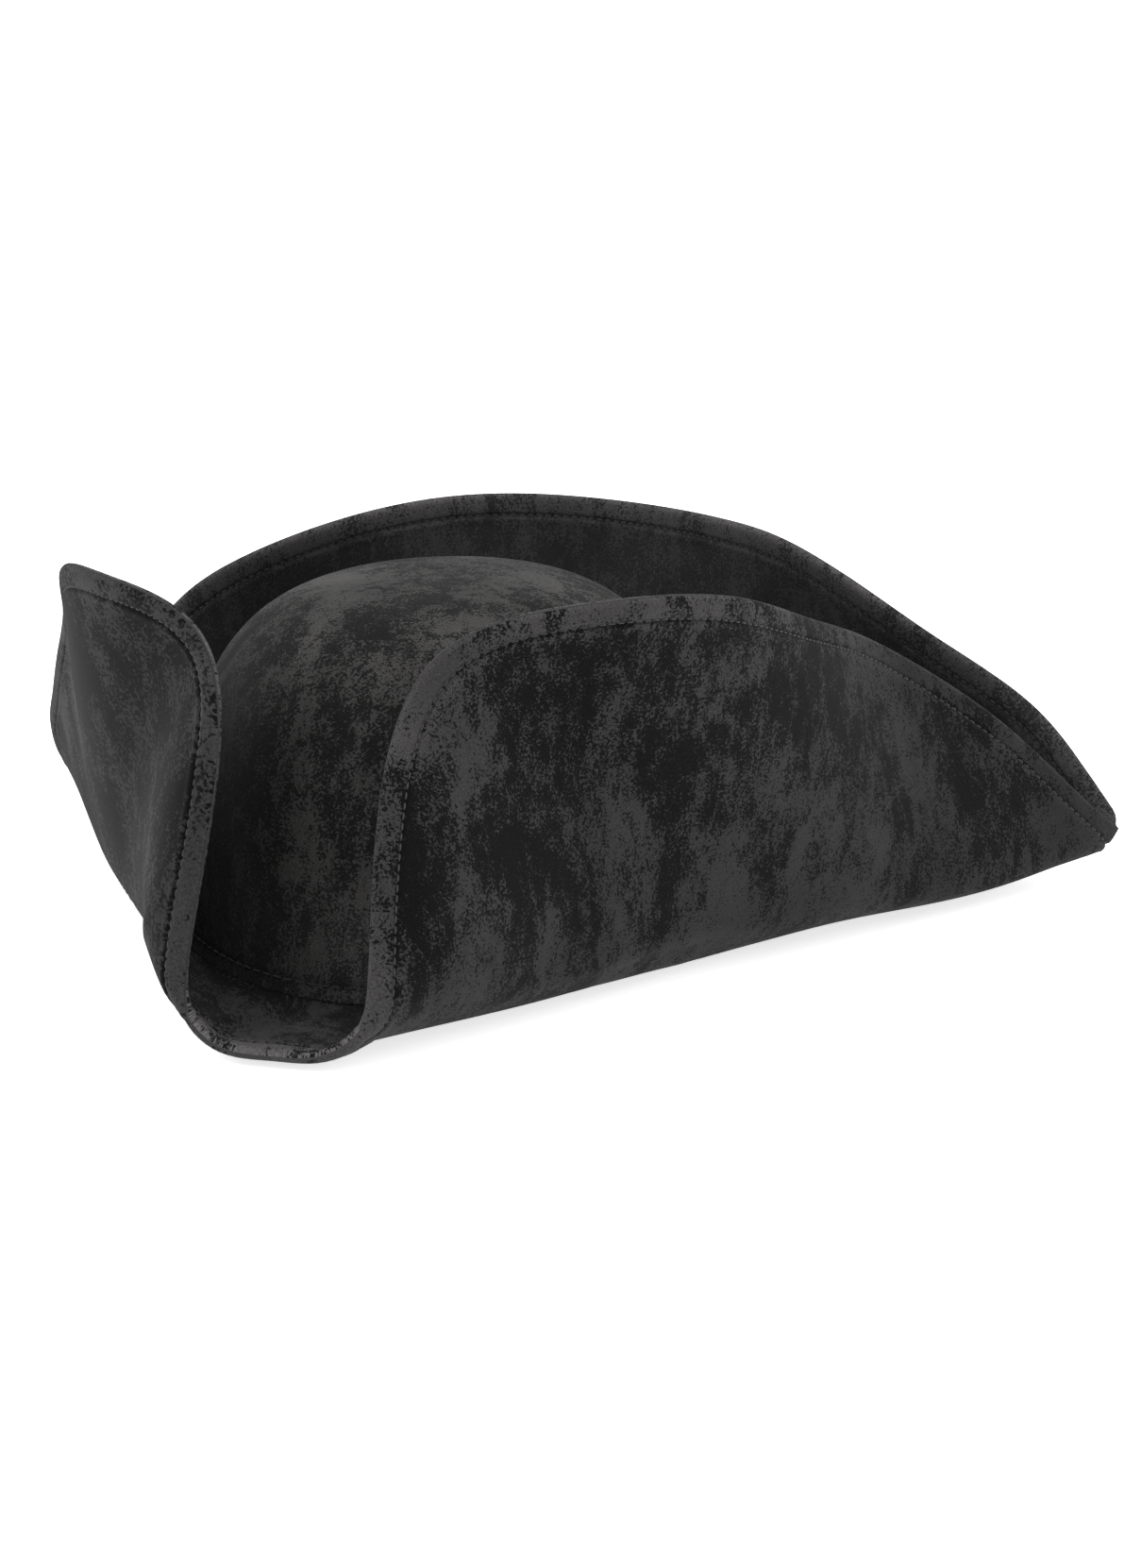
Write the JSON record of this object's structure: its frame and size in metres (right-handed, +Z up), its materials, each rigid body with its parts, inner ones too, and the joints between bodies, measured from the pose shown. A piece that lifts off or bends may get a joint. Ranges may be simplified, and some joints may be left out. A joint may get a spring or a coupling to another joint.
{
  "type": "pirate hat",
  "caption": "Black faux suede tricorn pirate hat with an oval crown, an open front lip and three tall turned-up brim sides.",
  "frame": {"origin": "centre of the oval head opening, in the plane that the hat rests on", "axes": "+Z up through the crown, -Y to the front lip, +X to the wearer's left"},
  "size_m": [0.4016, 0.3455, 0.1414],
  "materials": {
    "suede": "distressed brushed faux suede, matte, worn to dark grey",
    "foam": "moulded laminated foam",
    "lining": "plain knitted backing",
    "sweatband": "woven tape",
    "thread": "polyester thread",
    "wire": "soft shaping wire"
  },
  "bodies": {
    "root": {"crown_shell": "suede", "crown_stiffener": "foam", "crown_lining": "lining", "crown_seam_stitching": "thread", "sweatband": "sweatband", "sweatband_stitching": "thread", "brim_upper_cover": "suede", "brim_foam_core": "foam", "brim_under_cover": "suede", "front_lip_wire": "wire", "front_lip_stitching": "thread"},
    "left_turn_up": {"left_turn_up_inner_cover": "suede", "left_turn_up_foam_core": "foam", "left_turn_up_outer_cover": "suede", "left_turn_up_edge_wire": "wire", "left_turn_up_edge_stitching": "thread"},
    "right_turn_up": {"right_turn_up_inner_cover": "suede", "right_turn_up_foam_core": "foam", "right_turn_up_outer_cover": "suede", "right_turn_up_edge_wire": "wire", "right_turn_up_edge_stitching": "thread"},
    "back_turn_up": {"back_turn_up_inner_cover": "suede", "back_turn_up_foam_core": "foam", "back_turn_up_outer_cover": "suede", "back_turn_up_edge_wire": "wire", "back_turn_up_edge_stitching": "thread"}
  },
  "joints": [
    {"name": "left_turn_up_fold", "type": "hinge", "parent": "root", "child": "left_turn_up", "pos_m": [0.029, -0.166, 0.0127], "axis": [0.4828, 0.8757, -0.0028], "range_deg": [0, 35]},
    {"name": "right_turn_up_fold", "type": "hinge", "parent": "root", "child": "right_turn_up", "pos_m": [-0.029, -0.166, 0.0127], "axis": [0.4828, -0.8757, 0.0028], "range_deg": [0, 35]},
    {"name": "back_turn_up_fold", "type": "hinge", "parent": "root", "child": "back_turn_up", "pos_m": [0, 0.146, 0.0117], "axis": [-1, 0, 0], "range_deg": [0, 35]}
  ]
}
